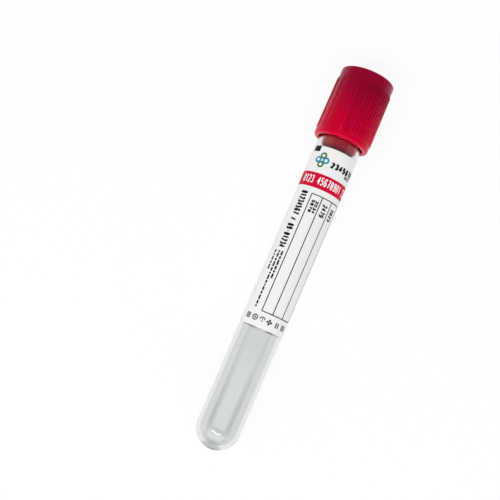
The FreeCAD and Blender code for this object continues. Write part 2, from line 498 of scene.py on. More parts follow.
@dataclass(frozen=True)
class ClearPlastic(Finish):
    """Clear moulded plastic: a cool tint, a slow ripple, a faint haze, painted dark streaks of reflected shade
    up each side of the round end, and a painted dark patch of refracted shade at its pole.
    """

    name = "clear_plastic"
    tint: Colour = (0.785, 0.808, 0.804)
    # Painted shade: tint of the dark streaks up each side of the round end, standing in for reflected shade.
    painted_streak_tint: Colour = (0.725, 0.738, 0.735)
    # Painted shade: dark tint of the pole of the round end, standing in for refracted shade.
    painted_gate_shade: Colour = (0.30, 0.32, 0.325)
    painted_gate_shade_edge: Span = (-0.05575, -0.05625)
    streak_inner: Span = (0.0017, 0.0026)
    streak_outer: Span = (0.0039, 0.003)
    streak_wander: float = 0.0012
    streak_top: Span = (-0.0306, -0.0466)
    streak_foot: Span = (-0.0536, -0.0491)
    index: float = 1.57
    shine: float = 0.85
    ripple: Pattern = Pattern(7.0, 2.0, (1.0, 0.35, 1.0))
    smooth: float = 0.002
    haze: float = 0.005
    relief: Span = (0.02, 0.01)

    def values(self, graph: Graph) -> dict[str, Any]:
        """Works out the shader's values. One painted dark streak, standing in for reflected shade, runs up from
        the round end on each side of the middle.

        Args:
            graph: The graph that their nodes are added to.

        Returns:
            The value of each socket.
        """
        cloud = graph.noise(self.ripple)
        x, y, _ = graph.parts(graph.places())
        # Painted shade: a dark patch at the pole of the round end.
        gate = y.eased(self.painted_gate_shade_edge)
        # Painted shade: a dark streak on each side of the middle, standing in for reflected shade.
        aside = x.highest(0.0 - x) + self.streak_wander * cloud - self.streak_wander / 2
        painted_streak = aside.eased(self.streak_inner) * aside.eased(self.streak_outer)
        painted_streak = painted_streak * y.eased(self.streak_top) * y.eased(self.streak_foot)
        streaked = graph.blend(painted_streak, self.tint, self.painted_streak_tint)
        return {
            "Base Color": graph.blend(gate, streaked, self.painted_gate_shade),
            "Transmission Weight": 1.0,
            "IOR": self.index,
            "Specular IOR Level": self.shine,
            "Roughness": self.smooth + self.haze * cloud * cloud,
            "Normal": graph.bump(cloud, self.relief),
        }


@dataclass(frozen=True)
class LabelPaper(Finish):
    """White satin label paper with faint fibres."""

    name = "label_paper"
    white: Colour = (0.865, 0.868, 0.855)
    shade: Colour = (0.83, 0.835, 0.82)
    shade_shares: Span = (0.6, 0.4)
    cloud: Pattern = Pattern(6.0, 3.0)
    fibre: Pattern = Pattern(0.12, 4.0, (1.0, 0.3, 1.0))
    roughness: Span = (0.28, 0.14)
    glow: float = 0.5
    spread: float = 0.2
    relief: Span = (0.01, 0.35)
    relief_cloud: float = 0.6

    def values(self, graph: Graph) -> dict[str, Any]:
        """Works out the shader's values.

        Args:
            graph: The graph that their nodes are added to.

        Returns:
            The value of each socket.
        """
        cloud, fibre = graph.noise(self.cloud), graph.noise(self.fibre)
        shade = self.shade_shares[0] * cloud + self.shade_shares[1] * fibre
        return {
            "Base Color": graph.blend(shade, self.white, self.shade),
            "Roughness": self.roughness[0] + self.roughness[1] * fibre,
            "Subsurface Weight": self.glow,
            "Subsurface Radius": EVEN,
            "Subsurface Scale": self.spread * MM,
            "Normal": graph.bump(fibre + self.relief_cloud * cloud, self.relief),
        }


class Ink(Enum):
    """The label's inks. The value is the number of the ink's material on the print."""

    BLACK = 0
    GREY = 1
    RED = 2
    WHITE = 3
    GREEN = 4
    BLUE = 5


INK_COLOURS: dict[Ink, Colour] = {
    Ink.BLACK: (0.009, 0.008, 0.009),
    Ink.GREY: (0.04, 0.04, 0.043),
    Ink.RED: (0.60, 0.0, 0.034),
    Ink.WHITE: (0.88, 0.88, 0.88),
    Ink.GREEN: (0.07, 0.17, 0.035),
    Ink.BLUE: (0.01, 0.28, 0.46),
}


@dataclass(frozen=True)
class PrintInk(Finish):
    """Printed ink: even in colour, a little uneven in gloss, with the paper's grain showing through."""

    ink: Ink
    grain: Pattern = Pattern(0.15, 3.0)
    shine: float = 0.1
    roughness: Span = (0.34, 0.2)
    relief: Span = (0.006, 0.3)

    @property
    def name(self) -> str:
        """The material's name."""
        return "ink_" + self.ink.name.lower()

    def values(self, graph: Graph) -> dict[str, Any]:
        """Works out the shader's values.

        Args:
            graph: The graph that their nodes are added to.

        Returns:
            The value of each socket.
        """
        grain = graph.noise(self.grain)
        return {
            "Base Color": INK_COLOURS[self.ink],
            "Specular IOR Level": self.shine,
            "Roughness": self.roughness[0] + self.roughness[1] * grain,
            "Normal": graph.bump(grain, self.relief),
        }


@dataclass(frozen=True)
class CapPlastic(Finish):
    """Satin red moulded plastic, with painted shade that darkens its top, a painted highlight along its top
    edge, and painted shade in the grooves between the ribs.
    """

    name = "cap_plastic"
    gloss: Colour = (1.0, 0.22, 0.34)
    skirt: Colour = (0.60, 0.0, 0.033)
    # Painted shade: the top is darkened towards this colour.
    painted_top_shade: Colour = (0.29, 0.002, 0.026)
    # Random tone and painted shade: the noises shade towards this colour at random, and the attribute of the
    # grooves between the ribs adds painted shade.
    depth: Colour = (0.17, 0.0, 0.012)
    tone_and_groove_shade_shares: Vector = (0.14, 0.14, 0.22)
    painted_top_shade_span: Span = (0.0382, 0.054)
    painted_top_shade_wander: float = 0.003
    # Painted highlight: the top's painted shade eases off along its top edge.
    painted_edge_highlight_span: Span = (0.0555, 0.0563)
    painted_edge_highlight: float = 0.3
    cloud: Pattern = Pattern(3.5, 3.0)
    fine: Pattern = Pattern(0.18, 3.0)
    shine: float = 0.24
    glow: float = 0.8
    glow_colour: Colour = (1.0, 0.1, 0.15)
    spread: float = 1.0
    roughness: Vector = (0.2, 0.1, 0.06)
    relief: Span = (0.015, 0.4)
    relief_cloud: float = 0.5

    def values(self, graph: Graph) -> dict[str, Any]:
        """Works out the shader's values.

        Args:
            graph: The graph that their nodes are added to.

        Returns:
            The value of each socket.
        """
        cloud, fine = graph.noise(self.cloud), graph.noise(self.fine)
        along = graph.parts(graph.places())[1]
        # Painted shade darkens the top, easing off along the top edge as a painted highlight.
        height = along + self.painted_top_shade_wander * cloud - self.painted_top_shade_wander / 2
        painted_top_shade = height.eased(self.painted_top_shade_span) * (1.0 - self.painted_edge_highlight * along.eased(self.painted_edge_highlight_span))
        colour = graph.blend(painted_top_shade, self.skirt, self.painted_top_shade)
        # Painted shade in the recesses between the ribs, read from the mesh's attribute.
        groove_shade = Wire(graph, graph.node("Attribute", {"attribute_name": GROOVE_SHADE}).outputs["Fac"])
        fine_share, cloud_share, groove_shade_share = self.tone_and_groove_shade_shares
        depth = fine_share * fine + cloud_share * cloud + groove_shade_share * groove_shade
        return {
            "Base Color": graph.blend(depth, colour, self.depth),
            "Specular IOR Level": self.shine,
            "Specular Tint": self.gloss,
            "Subsurface Weight": self.glow,
            "Subsurface Radius": self.glow_colour,
            "Subsurface Scale": self.spread * MM,
            "Roughness": self.roughness[0] + self.roughness[1] * fine + self.roughness[2] * cloud,
            "Normal": graph.bump(fine + self.relief_cloud * cloud, self.relief),
        }


@dataclass(frozen=True)
class StopperRubber(Finish):
    """Dark red rubber with a dull bloom and a fine grain."""

    name = "stopper_rubber"
    gloss: Colour = (1.0, 0.4, 0.5)
    body: Colour = (0.78, 0.005, 0.028)
    bloom: Colour = (0.85, 0.013, 0.040)
    bloom_shares: Span = (0.7, 0.2)
    cloud: Pattern = Pattern(2.2, 4.0)
    fine: Pattern = Pattern(0.12, 3.0)
    shine: float = 0.2
    roughness: Span = (0.46, 0.2)
    relief: Span = (0.02, 0.25)

    def values(self, graph: Graph) -> dict[str, Any]:
        """Works out the shader's values.

        Args:
            graph: The graph that their nodes are added to.

        Returns:
            The value of each socket.
        """
        cloud, fine = graph.noise(self.cloud), graph.noise(self.fine)
        bloom = self.bloom_shares[0] * cloud + self.bloom_shares[1] * fine
        return {
            "Base Color": graph.blend(bloom, self.body, self.bloom),
            "Specular IOR Level": self.shine,
            "Specular Tint": self.gloss,
            "Roughness": self.roughness[0] + self.roughness[1] * cloud,
            "Normal": graph.bump(fine + cloud, self.relief),
        }


# ---------------------------------------------------------------- the object's pieces


@dataclass(frozen=True)
class ClearTube:
    """The drafted tube with its round end, rounded mouth and shallow gate mark. Sizes in mm.

    The gate mark's outline runs outwards from its middle, in shares of its radius and depth.
    """

    length: float = 100.0
    mouth_radius: float = 6.3
    foot_radius: float = 6.15
    wall: float = 1.0
    foot_wall: float = 1.2
    lip: float = 0.25
    gate_radius: float = 0.9
    gate_depth: float = 0.15
    gate_outline: tuple[Span, ...] = ((0.0, 1.0), (0.6, 1.0), (0.88, 1.0), (0.97, 0.8))
    around: int = 256
    arc_steps: int = 56
    span: float = 4.0

    @property
    def draft(self) -> float:
        """Half angle of the outer cone, which touches the round end and ends at the mouth.

        Returns:
            The angle in radians.
        """
        rise = self.length - self.foot_radius
        reach = math.hypot(self.mouth_radius, rise)
        return math.acos(self.foot_radius / reach) - math.atan2(rise, self.mouth_radius)

    def cone(self, sphere: float, centre: float, height: Array | float) -> Array | float:
        """Radius of the cone that touches a sphere on the axis: (sphere + (height - centre) sin d) / cos d."""
        return (sphere + (height - centre) * math.sin(self.draft)) / math.cos(self.draft)

    def outer(self, height: Array | float) -> Array | float:
        """Outside radius at a height."""
        return self.cone(self.foot_radius, self.foot_radius, height)

    def inner(self, height: Array | float) -> Array | float:
        """Radius of the bore at a height."""
        sphere = self.foot_radius - self.wall
        return self.cone(sphere, self.foot_wall + sphere, height)

    def profile(self) -> Array:
        """Half profile: gate mark, outer sphere and cone, lip, inner cone and sphere.

        Returns:
            Rows of (radius, height).
        """
        tilt = math.degrees(self.draft)
        edge = math.degrees(math.asin(self.gate_radius / self.foot_radius)) - 90.0
        inside = self.foot_radius - self.wall
        lip_height = self.length - self.lip
        foot = (self.foot_radius, self.foot_radius)
        outside_end = oval((0.0, self.foot_radius), foot, edge, -tilt, self.arc_steps)
        inside_end = oval((0.0, self.foot_wall + inside), (inside, inside), -tilt, -90.0, self.arc_steps)
        inside_end[-1, 0] = 0.0
        return np.concatenate([
            np.array(self.gate_outline) * (self.gate_radius, self.gate_depth),
            resampled(np.concatenate([outside_end, [(self.outer(lip_height), lip_height)]]), self.span),
            round_corner((self.outer(self.length), self.length), self.lip, 0.0)[1:],
            round_corner((self.inner(self.length), self.length), self.lip, 90.0),
            resampled(np.concatenate([[(self.inner(lip_height), lip_height)], inside_end]), self.span)[1:],
        ])

    def build(self, lie: Lie) -> bpy.types.Object:
        """Makes and dresses the tube.

        Args:
            lie: Where it lies.

        Returns:
            The tube.
        """
        shape = lie.turned(self.profile(), self.around)
        piece = make_piece("clear_tube", [shape], [ClearPlastic().material()])
        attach(piece, "tube")
        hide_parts("tube")
        return piece


@dataclass(frozen=True)
class Wrap:
    """The label's place on the tube, and its unrolled plane. Sizes in mm.

    On that plane u goes around from the front's middle, and v up the axis from the round end.
    """

    tube: ClearTube
    low: float = 35.3
    height: float = 53.6
    thickness: float = 0.1
    glue: float = 0.02
    turn: float = 325.0
    unrolled_radius: float = 6.35
    step: float = 0.35
    longest_mitre: float = 1.5

    @property
    def top(self) -> float:
        """Height of the upper edge."""
        return self.low + self.height

    def at(self, angle: float) -> float:
        """The u of an angle from the front's middle, in degrees."""
        return math.radians(angle) * self.unrolled_radius

    def places(self, lie: Lie, u: Array, v: Array, lift: Array) -> Array:
        """Places at u and v: angle = u / unrolled radius, and radius = the tube's radius at v + lift."""
        return lie.places(self.tube.outer(v) + lift, u / self.unrolled_radius, v)

    def ribbon(self, lie: Lie, path: Array, width: float, lifts: Span, closed: bool, finish: int) -> Surface:
        """A flat closed ribbon along a path on the unrolled label, with mitred corners.

        At each point of the path the section is a rectangle with the corners point +- normal * mitre *
        width / 2 at the upper and the lower lift. The normal is square to the mean of the two spans'
        directions, and mitre = 1 / cos(half the turn between them), held at the longest.

        Args:
            lie: Where the tube lies.
            path: Rows of (u, v).
            width: The ribbon's width.
            lifts: Its underside and its top above the tube.
            closed: True if the path ends where it starts.
            finish: Number of its material.

        Returns:
            The surface.
        """
        spans = np.diff(np.concatenate([path, path[:1]]) if closed else path, axis=0)
        spans /= np.linalg.norm(spans, axis=1)[:, None]
        before = np.roll(spans, 1, axis=0) if closed else np.concatenate([spans[:1], spans])
        after = spans if closed else np.concatenate([spans, spans[-1:]])
        mean = before + after
        length = np.maximum(np.linalg.norm(mean, axis=1)[:, None], ROUNDING)
        normal = np.stack([-mean[:, 1], mean[:, 0]], axis=1) / length
        side = normal * (width / 2) * np.minimum(2.0 / length, self.longest_mitre)
        left, right = path + side, path - side
        uv = np.stack([right, left, left, right], axis=1).reshape(-1, 2)
        lift = np.tile([lifts[1], lifts[1], lifts[0], lifts[0]], len(path))
        quads = grid_quads(len(path), 4, rows_close=closed, columns_close=True)
        if not closed:
            last = 4 * (len(path) - 1)
            quads = np.concatenate([quads, [[0, 1, 2, 3], [last + 3, last + 2, last + 1, last]]])
        return Surface(self.places(lie, uv[:, 0], uv[:, 1], lift), quads, finish)

    def build(self, lie: Lie) -> bpy.types.Object:
        """Makes and dresses the paper, a ribbon once round the tube that leaves a strip open at the back.

        Args:
            lie: Where the tube lies.

        Returns:
            The paper.
        """
        end = self.at(self.turn / 2)
        middle = self.low + self.height / 2
        path = resampled(np.array([(-end, middle), (end, middle)]), self.step / 2)
        sheet = self.ribbon(lie, path, self.height, (self.glue, self.glue + self.thickness), False, 0)
        piece = make_piece("paper_label", [sheet], [LabelPaper().material()])
        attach(piece, "tube")
        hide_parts("label")
        return piece


class Reading(Enum):
    """Which way a row of digits runs."""

    AROUND = "around the tube"
    DOWN = "down the tube, towards the round end"


def digit_strokes() -> dict[str, list[tuple[Array, bool]]]:
    """Centre lines of plain digits, a slash and a dash, in a box one wide and one high.

    Returns:
        For each sign its lines, each with True if it is a loop.
    """

    def lines(*points: Span) -> Array:
        """The path through these points."""
        return np.array(points, float)

    top_left = oval((0.5, 0.74), (0.5, 0.26), 15.0, 180.0, 9)
    six = [(np.concatenate([top_left, lines((0.0, 0.3))]), False), (loop((0.5, 0.29), (0.5, 0.29)), True)]
    return {
        "0": [(np.concatenate([
            oval((0.5, 0.72), (0.5, 0.28), 0.0, 180.0, 9), oval((0.5, 0.28), (0.5, 0.28), 180.0, 360.0, 9),
        ]), True)],
        "1": [(lines((0.15, 0.78), (0.6, 1.0), (0.6, 0.0)), False)],
        "2": [(np.concatenate([
            oval((0.5, 0.72), (0.5, 0.28), 170.0, -25.0, 9), lines((0.02, 0.0), (1.0, 0.0)),
        ]), False)],
        "3": [(np.concatenate([
            oval((0.46, 0.76), (0.48, 0.24), 155.0, -80.0, 9),
            oval((0.48, 0.27), (0.52, 0.27), 80.0, -155.0, 10),
        ]), False)],
        "4": [(lines((0.74, 0.0), (0.74, 1.0), (0.0, 0.28), (1.0, 0.28)), False)],
        "5": [(np.concatenate([
            lines((0.92, 1.0), (0.1, 1.0), (0.06, 0.52)), oval((0.47, 0.32), (0.53, 0.32), 125.0, -150.0, 11),
        ]), False)],
        "6": six,
        "7": [(lines((0.0, 1.0), (1.0, 1.0), (0.38, 0.0)), False)],
        "8": [(loop((0.5, 0.76), (0.43, 0.24)), True), (loop((0.5, 0.27), (0.5, 0.27)), True)],
        "9": [(1.0 - path, closed) for path, closed in six],
        "/": [(lines((0.05, 0.0), (0.95, 1.0)), False)],
        "-": [(lines((0.1, 0.5), (0.9, 0.5)), False)],
    }


@dataclass(frozen=True)
class DigitStyle:
    """Size of a row of digits, in mm.

    Attributes:
        height: Height of a digit, to the outside of its strokes.
        width: Its width.
        gap: Space between two digits.
        stroke: Width of its strokes.
        ink: Its ink.
    """

    height: float
    width: float
    gap: float
    stroke: float
    ink: Ink = Ink.BLACK


@dataclass
class LabelPrint:
    """The print on the label: a colour band, a ruled table, rows of plain numbers and simple marks.

    Angles are from the front's middle in degrees, heights above the round end and sizes in mm. Lines
    laid one after another differ in height by the stagger, so that no two lie in one plane. The margin
    keeps what runs to the paper's edge just inside it.
    """

    wrap: Wrap
    lie: Lie
    thickness: float = 0.012
    sunk: float = 0.01
    layer_share: float = 0.6
    stagger: float = 0.0004
    stagger_levels: int = 5
    margin: float = 0.02
    surfaces: list[Surface] = field(default_factory=list)

    @property
    def paper(self) -> float:
        """Height of the paper's surface above the tube."""
        return self.wrap.glue + self.wrap.thickness

    def spot(self, angle: float, height: float, aside: float = 0.0) -> Span:
        """The u and v of a place at an angle and a height, moved aside to the right."""
        return self.wrap.at(angle) + aside, height

    def stroke(self, path: Array, width: float, ink: Ink, closed: bool = False, layer: int = 0) -> None:
        """Lays a line of ink along a path on the unrolled label.

        Args:
            path: Rows of (u, v).
            width: The line's width.
            ink: Its ink.
            closed: True if it ends where it starts.
            layer: Its layer. Each layer lies over the one before.
        """
        step = self.wrap.step
        fine = resampled(np.concatenate([path, path[:1]]), step)[:-1] if closed else resampled(path, step)
        top = self.paper + self.thickness * (1 + self.layer_share * layer)
        lifts = (self.paper - self.sunk, top + self.stagger * (len(self.surfaces) % self.stagger_levels))
        self.surfaces.append(self.wrap.ribbon(self.lie, fine, width, lifts, closed, ink.value))

    def line_down(self, angle: float, heights: Span, width: float) -> None:
        """Lays a straight black line along the tube at an angle."""
        self.stroke(np.array([self.spot(angle, height) for height in heights]), width, Ink.BLACK)

    def block(self, angles: Span, heights: Span, ink: Ink) -> None:
        """Fills a rectangle between two angles and two heights."""
        middle, tall = sum(heights) / 2, heights[1] - heights[0]
        self.stroke(np.array([self.spot(angle, middle) for angle in angles]), tall, ink)

    def blocks(self, angles: Sequence[float], height: float, halves: Span, ink: Ink) -> None:
        """Fills a rectangle about each angle at a height, by half its width in degrees and half its height."""
        for angle in angles:
            self.block((angle - halves[0], angle + halves[0]), (height - halves[1], height + halves[1]), ink)

    def ring(self, middle: Span, radius: float, width: float, ink: Ink) -> None:
        """Draws a ring of this radius, with a line of this width."""
        self.stroke(loop(middle, (radius, radius)), width, ink, closed=True)

    def dot(self, middle: Span, radius: float) -> None:
        """Fills a black dot: a fan of rings about its middle, with a rim down into the paper.

        Args:
            middle: Its u and v.
            radius: Its radius.
        """
        turn = np.radians(np.linspace(0.0, FULL_TURN, ROUND_STEPS, endpoint=False))[:, None]
        rings = radius * np.array([0.0, 1.0, 1.0, 0.5, 0.0])
        low, high = self.paper - self.sunk, self.paper + self.thickness
        lift = np.array([low, low, high, high, high]) + 0.0 * turn
        u, v = middle[0] + rings * np.cos(turn), middle[1] + rings * np.sin(turn)
        quads = grid_quads(len(turn), rings.size, rows_close=True)
        quads = closed_at_poles(quads, rings.size, (0, rings.size - 1))
        self.surfaces.append(Surface(self.wrap.places(self.lie, u, v, lift), quads, Ink.BLACK.value))

    def digits(
        self, text: str, angle: float, height: float, style: DigitStyle, reading: Reading, layer: int = 0
    ) -> None:
        """Writes a row of digits. A space leaves a gap.

        Args:
            text: The digits.
            angle: Where the row starts. For a row down the tube, the middle of the row.
            height: Middle of a row around the tube, or the top end of a row down the tube.
            style: Its size and ink.
            reading: Which way it runs.
            layer: The ink's layer.
        """
        scale = np.array([style.width - style.stroke, style.height - style.stroke])
        for place, digit in enumerate(text):
            corner = (place * (style.width + style.gap), -style.height / 2)
            for path, closed in DIGITS.get(digit, []):
                flat = path * scale + style.stroke / 2 + corner
                if reading is Reading.DOWN:
                    flat = flat[:, ::-1] * (1.0, -1.0)
                self.stroke(flat + self.spot(angle, height), style.stroke, style.ink, closed, layer)

    def band(self) -> None:
        """The colour band round the whole label, with a row of white numbers."""
        end = self.wrap.turn / 2 - self.margin
        self.block((-end, end), (76.85, 81.06), Ink.RED)
        style = DigitStyle(height=2.36, width=0.78, gap=0.2, stroke=0.27, ink=Ink.WHITE)
        self.digits("0123 45678901 2345 67", -60.0, 79.08, style, Reading.AROUND, layer=1)

    def table(self) -> None:
        """The ruled table of three columns, headed by two small numbers, one number and one number."""
        low, high = 39.9, 75.05
        lines = (-15.9, 13.4, 42.6, 76.8)
        across = (lines[0] - 1.2, lines[-1] + 1.2)
        head = 73.55
        for angle in lines:
            self.line_down(angle, (low, high), 0.28)
        for height in (low, high):
            self.block(across, (height - 0.14, height + 0.14), Ink.BLACK)
        style = DigitStyle(height=1.6, width=0.86, gap=0.1, stroke=0.36)
        small = DigitStyle(height=0.96, width=0.86, gap=0.1, stroke=0.3)
        for text, angle in (("2034", 5.0), ("5678", -5.2)):
            self.digits(text, angle, head, small, Reading.DOWN)
        for text, angle in (("2479", 28.3), ("3825", 57.0)):
            self.digits(text, angle, head, style, Reading.DOWN)

    def head(self) -> None:
        """The label's head: a mark at its edge, four rings, a row of numbers and a smaller one under it."""
        self.block((-67.0, -43.5), (87.2, self.wrap.top - self.margin), Ink.BLACK)
        rings = ((0.0, 1.3, Ink.GREEN), (1.2, 0.05, Ink.BLUE), (-1.2, -0.05, Ink.BLUE), (0.0, -1.3, Ink.GREEN))
        for aside, up, ink in rings:
            self.ring(self.spot(-26.5, 84.95 + up, aside), 0.72, 0.52, ink)
        style = DigitStyle(height=1.8, width=1.12, gap=0.12, stroke=0.56)
        small = DigitStyle(height=0.95, width=0.62, gap=0.12, stroke=0.24)
        self.digits("2345678", 0.0, 84.45, style, Reading.AROUND)
        self.digits("9023", 48.0, 83.05, small, Reading.AROUND)

    def side_text(self) -> None:
        """The bold numbers down the left of the table, and fine print under them as rows of dashes."""
        style = DigitStyle(height=2.2, width=0.8, gap=0.11, stroke=0.47)
        self.digits("01234567 / 89-01234", -36.6, 75.3, style, Reading.DOWN)
        for angle, length, phase in ((-27.0, 9.3, 0.1), (-36.5, 17.2, 0.45), (-48.5, 6.5, 0.8)):
            self.dashes(angle, 57.4, length, phase)

    def dashes(self, angle: float, top: float, length: float, phase: float) -> None:
        """A row of dashes down the tube: length n = shortest + extra * the fraction of (phase + golden * n).

        Args:
            angle: The row's angle.
            top: The height of its upper end.
            length: Its longest length.
            phase: What the fractions start from.
        """
        width, gap, shortest, extra, golden, most = 0.56, 0.28, 0.45, 1.1, 0.618034, 40
        sizes = shortest + extra * np.modf(phase + golden * np.arange(1, most))[0]
        ends = np.cumsum(sizes + gap)
        for end, size in zip(ends[ends <= length], sizes):
            self.line_down(angle, (top - end + size, top - end), width)

    def marks(self) -> None:
        """Small plain marks in a row under the table."""
        height = 37.7
        self.blocks((-52.0, -47.3, -42.6), height, (1.6, 0.8), Ink.BLACK)
        self.ring(self.spot(-26.0, height), 0.72, 0.3, Ink.BLACK)
        self.dot(self.spot(-26.0, height), 0.3)
        self.stroke(oval(self.spot(-5.8, height - 0.05), (0.75, 0.75), 170.0, 10.0, 10), 0.26, Ink.BLACK)
        self.line_down(-5.8, (height + 0.7, height - 0.7), 0.2)
        for aside, up in ((0.0, 0.55), (-0.55, 0.0), (0.55, 0.0), (0.0, -0.55)):
            self.dot(self.spot(13.0, height + up, aside), 0.3)
        self.ring(self.spot(13.0, height), 0.25, 0.2, Ink.BLACK)
        self.blocks((32.5, 38.5), height, (1.8, 0.75), Ink.GREY)
        self.blocks((52.0, 56.5, 61.0, 65.5), height, (1.3, 0.8), Ink.BLACK)

    def far_side(self) -> None:
        """Two framed numbers with longer ones under them, past the table."""
        small = DigitStyle(height=0.85, width=0.5, gap=0.14, stroke=0.11, ink=Ink.GREY)
        plain = DigitStyle(height=1.1, width=0.68, gap=0.2, stroke=0.14)
        low, high, half_width = 71.4, 74.5, 0.75
        corners = ((-half_width, low), (half_width, low), (half_width, high), (-half_width, high))
        for angle, text in ((97.0, "20 30 40"), (120.0, "50 60 70")):
            box = np.array([self.spot(angle, height, aside) for aside, height in corners])
            self.stroke(box, 0.16, Ink.GREY, closed=True)
            self.digits("000", angle, 73.85, small, Reading.DOWN)
            self.digits(text, angle, 70.0, plain, Reading.DOWN)

    def build(self) -> bpy.types.Object:
        """Lays all the ink and dresses it.

        Returns:
            The print.
        """
        self.band()
        self.table()
        self.head()
        self.side_text()
        self.marks()
        self.far_side()
        piece = make_piece("label_print", self.surfaces, [PrintInk(ink).material() for ink in Ink])
        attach(piece, "tube")
        return piece


DIGITS = digit_strokes()


@dataclass(frozen=True)
class RibbedCap:
    """The cap: a smooth top band, a ribbed grip with two smooth panels, a rounded rim and a needle well.

    Sizes in mm, angles in degrees.
    """

    top: float = 113.4
    rim: float = 92.5
    band_radius: float = 7.92
    band_height: float = 3.05
    skirt_radius: float = 8.09
    skirt_height: float = 2.35
    top_round: float = 0.4
    rim_round: float = 0.65
    bore_radius: float = 6.55
    bore_flare: float = 0.1
    rim_bevel: float = 0.2
    chamber_radius: float = 6.9
    chamber_foot: float = 100.05
    plate: float = 1.8
    well_radius: float = 4.25
    well_depth: float = 5.5
    well_wall: float = 1.0
    well_bevel: float = 0.3
    rib_top_radius: float = 8.16
    rib_foot_radius: float = 8.26
    rib_top_slope: float = 0.45
    rib_foot_slope: float = 0.25
    rib_edge: float = 0.16
    panel_angle: float = 37.2
    wide_rib_angle: float = 7.6
    gap_angle: float = 14.1
    fine_rib_angle: float = 4.2
    fine_ribs: int = 14
    band_foot: float = 0.2
    soft: float = 0.1
    full_crest: float = 0.05
    # Lift at which the painted shade between the ribs is full.
    full_groove_shade: float = 0.1
    column_step: float = 2.0
    edge_columns: int = 4
    foot_rows: int = 6
    rib_rows: int = 14
    top_rows: int = 9

    @property
    def grip_top(self) -> float:
        """Height of the ribs' top end."""
        return self.top - self.band_height

    @property
    def grip_foot(self) -> float:
        """Height of the ribs' foot."""
        return self.rim + self.skirt_height

    @property
    def well_floor(self) -> float:
        """Height of the well's floor."""
        return self.top - self.well_depth

    @property
    def panel_middle(self) -> float:
        """Angle of the first panel's middle from the front, at which a gap faces up and another down."""
        return -(self.panel_angle / 2 + self.wide_rib_angle + self.gap_angle / 2)

    @property
    def edge_angle(self) -> float:
        """Angle that a rib's broken edge takes up."""
        return math.degrees(self.rib_edge / self.rib_foot_radius)

    def ribs(self) -> tuple[Array, Array]:
        """Places the ribs: each panel has a wide rib on both sides, and the fine ribs lie between the gaps.

        Returns:
            The ribs' middles from the front and their half widths, in degrees.
        """
        wide = (self.panel_angle + self.wide_rib_angle) / 2
        first = self.panel_angle / 2 + self.wide_rib_angle + self.gap_angle + self.fine_rib_angle / 2
        fine = np.linspace(first, FULL_TURN / 2 - first, self.fine_ribs)
        side = np.concatenate([[-wide, wide], fine])
        half = np.concatenate([[self.wide_rib_angle] * 2, [self.fine_rib_angle] * self.fine_ribs]) / 2
        middles = np.concatenate([side, side + FULL_TURN / 2]) + self.panel_middle
        return middles, np.concatenate([half, half])

    def angles(self) -> Array:
        """Places the mesh's columns, close together on the ribs' edges and wider apart between.

        Returns:
            Their angles in degrees.
        """
        middles, half = self.ribs()
        offsets = half[:, None] - np.linspace(0.0, self.edge_angle, self.edge_columns)
        left, right = middles[:, None] - offsets, middles[:, None] + offsets
        found = np.sort(np.concatenate([left.ravel(), right.ravel(), middles]) % FULL_TURN)
        return resampled(np.append(found, found[0] + FULL_TURN)[:, None], self.column_step)[:-1, 0]

    def wall_radius(self, height: Array) -> Array:
        """Radius of the outer wall without ribs: straight from the skirt to the band."""
        return np.interp(height, [self.grip_foot, self.grip_top], [self.skirt_radius, self.band_radius])

    def rib_lift(self, height: Array) -> Array:
        """How far the ribs stand out: a straight crest less the wall, eased in at both ends.

        Args:
            height: Heights.

        Returns:
            The lift at each height.
        """
        ends = [self.grip_foot, self.grip_top - self.rib_top_slope]
        crest = np.interp(height, ends, [self.rib_foot_radius, self.rib_top_radius])
        foot = smooth_step((height - self.grip_foot + self.rib_foot_slope) / self.rib_foot_slope)
        top = smooth_step((self.grip_top - height) / self.rib_top_slope)
        return (crest - self.wall_radius(height)) * foot * top

    def profile(self) -> Array:
        """Closed half profile: rim, outer wall, top, well, inside of the plate, chamber and bore.

        Returns:
            Rows of (radius, height).
        """
        flare = self.bore_radius + self.bore_flare
        ribs_foot, ribs_top = self.grip_foot - self.rib_foot_slope, self.grip_top - self.rib_top_slope
        heights = np.concatenate([
            np.linspace(ribs_foot, self.grip_foot, self.foot_rows),
            np.linspace(self.grip_foot, ribs_top, self.rib_rows)[1:],
            np.linspace(ribs_top, self.grip_top, self.top_rows)[1:],
        ])
        well, floor, soft = self.well_radius, self.well_floor, self.soft
        back, plate = well + self.well_wall, self.top - self.plate
        return np.concatenate([
            round_corner((flare, self.rim), self.rim_bevel, 180.0),
            round_corner((self.skirt_radius, self.rim), self.rim_round, -90.0, 10),
            np.stack([self.wall_radius(heights), heights], axis=1),
            [(self.band_radius, self.grip_top + self.band_foot)],
            round_corner((self.band_radius, self.top), self.top_round, 0.0, 12),
            round_corner((well, self.top), self.well_bevel, 90.0),
            [(well, floor + soft), (well + soft, floor), (back - soft, floor), (back, floor + soft)],
            [(back, plate), (self.chamber_radius, plate)],
            [(self.chamber_radius, self.chamber_foot), (self.bore_radius, self.chamber_foot)],
        ])

